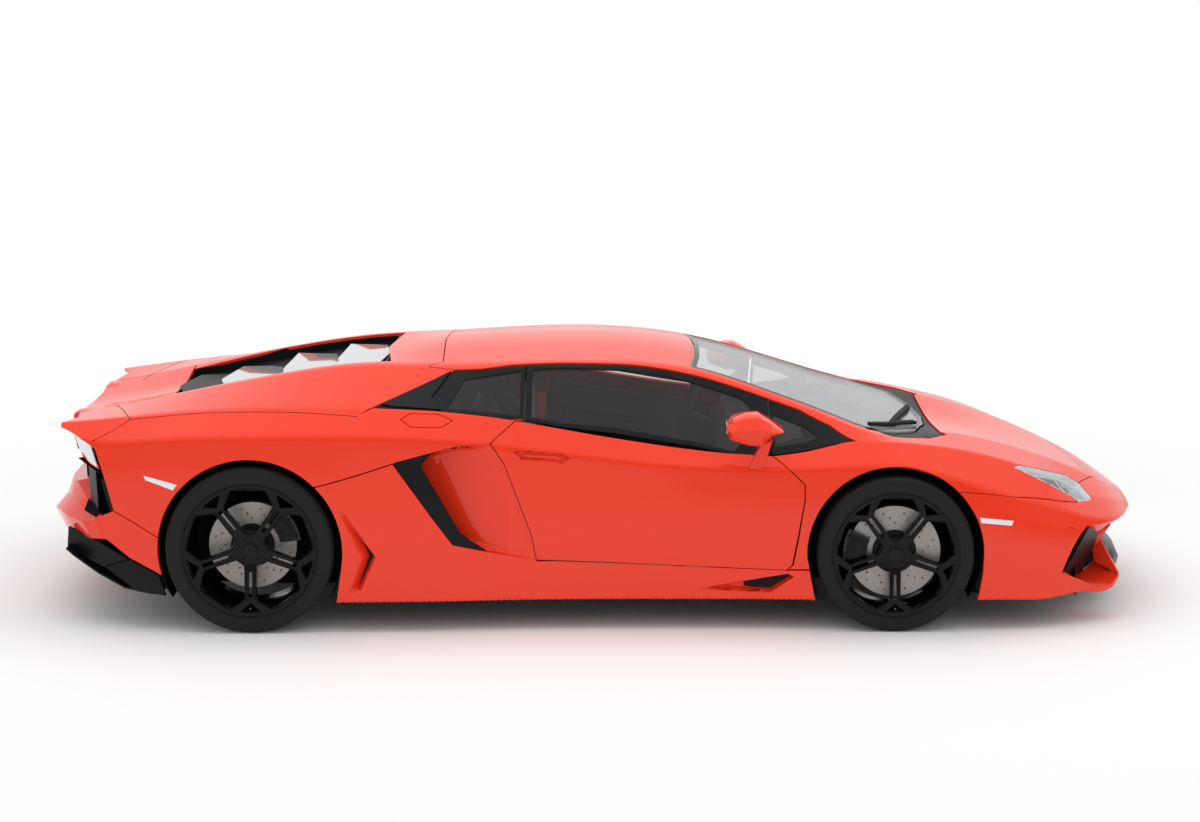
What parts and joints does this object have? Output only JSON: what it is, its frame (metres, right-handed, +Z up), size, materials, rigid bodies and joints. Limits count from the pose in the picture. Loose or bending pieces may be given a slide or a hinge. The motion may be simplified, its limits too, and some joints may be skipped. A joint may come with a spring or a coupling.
{
  "type": "supercar",
  "caption": "Low mid-engined two-seat coupe with scissor doors, steered front wheels, a front lid, a glass-slatted engine cover and wide wheels on wishbones.",
  "frame": {"origin": "on the ground under the middle of the car's box", "axes": "+X to the nose, +Y to the car's left, +Z up"},
  "size_m": [4.781, 2.26, 1.134],
  "materials": {
    "black_rim": "gloss black paint",
    "black_trim": "satin black plastic",
    "cabin_trim": "dark soft trim",
    "disc": "ground brake disc",
    "engine": "cast aluminium",
    "glass": "tinted safety glass",
    "lamp": "clear lamp cover",
    "paint": "gloss orange-red paint",
    "red_lamp": "red lamp lens",
    "seat": "grey leather",
    "structure": "carbon fibre structure",
    "suspension": "cast and machined aluminium",
    "tyre": "matt black rubber"
  },
  "bodies": {
    "body": {"cowl": "black_trim", "dashboard": "cabin_trim", "diffuser": "black_trim", "engine": "engine", "fender_left": "paint", "fender_right": "paint", "front_bumper": "paint", "grilles": "black_trim", "headlamps": "lamp", "quarter_left": "paint", "quarter_right": "paint", "quarter_windows": "glass", "rear_bumper": "paint", "rear_panel": "black_trim", "rear_window": "glass", "roof_frame": "paint", "seats": "seat", "sills": "paint", "spoiler": "paint", "steering_wheel": "cabin_trim", "suspension": "suspension", "tail_lamps": "red_lamp", "tub": "structure", "undertray": "black_trim", "windscreen": "glass", "wipers": "black_trim"},
    "door_left": {"door_left": "paint", "door_glass_left": "glass", "mirror_left": "paint"},
    "door_right": {"door_right": "paint", "door_glass_right": "glass", "mirror_right": "paint"},
    "front_lid": {"front_lid": "paint"},
    "engine_cover": {"engine_cover": "black_trim", "engine_slats": "glass"},
    "knuckle_left": {"knuckle_left": "suspension"},
    "knuckle_right": {"knuckle_right": "suspension"},
    "wheel_front_left": {"rim_front_left": "black_rim", "tyre_front_left": "tyre", "disc_front_left": "disc"},
    "wheel_front_right": {"rim_front_right": "black_rim", "tyre_front_right": "tyre", "disc_front_right": "disc"},
    "wheel_rear_left": {"rim_rear_left": "black_rim", "tyre_rear_left": "tyre", "disc_rear_left": "disc"},
    "wheel_rear_right": {"rim_rear_right": "black_rim", "tyre_rear_right": "tyre", "disc_rear_right": "disc"}
  },
  "joints": [
    {"name": "door_left_hinge", "type": "hinge", "parent": "body", "child": "door_left", "pos_m": [0.779, 0.822, 0.758], "axis": [-0.1952, 0.9759, -0.0976], "range_deg": [0, 60]},
    {"name": "door_right_hinge", "type": "hinge", "parent": "body", "child": "door_right", "pos_m": [0.779, -0.822, 0.758], "axis": [0.1952, 0.9759, 0.0976], "range_deg": [0, 60]},
    {"name": "front_lid_hinge", "type": "hinge", "parent": "body", "child": "front_lid", "pos_m": [1.505, 0, 0.754], "axis": [0, -1, 0], "range_deg": [0, 55]},
    {"name": "engine_cover_hinge", "type": "hinge", "parent": "body", "child": "engine_cover", "pos_m": [-0.824, 0, 1.069], "axis": [0, 1, 0], "range_deg": [0, 60]},
    {"name": "steer_left", "type": "hinge", "parent": "body", "child": "knuckle_left", "pos_m": [1.275, 0.84, 0.3305], "axis": [0, 0, 1], "range_deg": [-30, 30]},
    {"name": "steer_right", "type": "hinge", "parent": "body", "child": "knuckle_right", "pos_m": [1.275, -0.84, 0.3305], "axis": [0, 0, 1], "range_deg": [-30, 30]},
    {"name": "wheel_front_left_spin", "type": "hinge", "parent": "knuckle_left", "child": "wheel_front_left", "pos_m": [1.275, 0.86, 0.3305], "axis": [0, 1, 0], "continuous": true},
    {"name": "wheel_front_right_spin", "type": "hinge", "parent": "knuckle_right", "child": "wheel_front_right", "pos_m": [1.275, -0.86, 0.3305], "axis": [0, 1, 0], "continuous": true},
    {"name": "wheel_rear_left_spin", "type": "hinge", "parent": "body", "child": "wheel_rear_left", "pos_m": [-1.425, 0.845, 0.3545], "axis": [0, 1, 0], "continuous": true},
    {"name": "wheel_rear_right_spin", "type": "hinge", "parent": "body", "child": "wheel_rear_right", "pos_m": [-1.425, -0.845, 0.3545], "axis": [0, 1, 0], "continuous": true}
  ],
  "couplings": [
    {"joint": "steer_right", "follows": "steer_left", "ratio": 1}
  ]
}
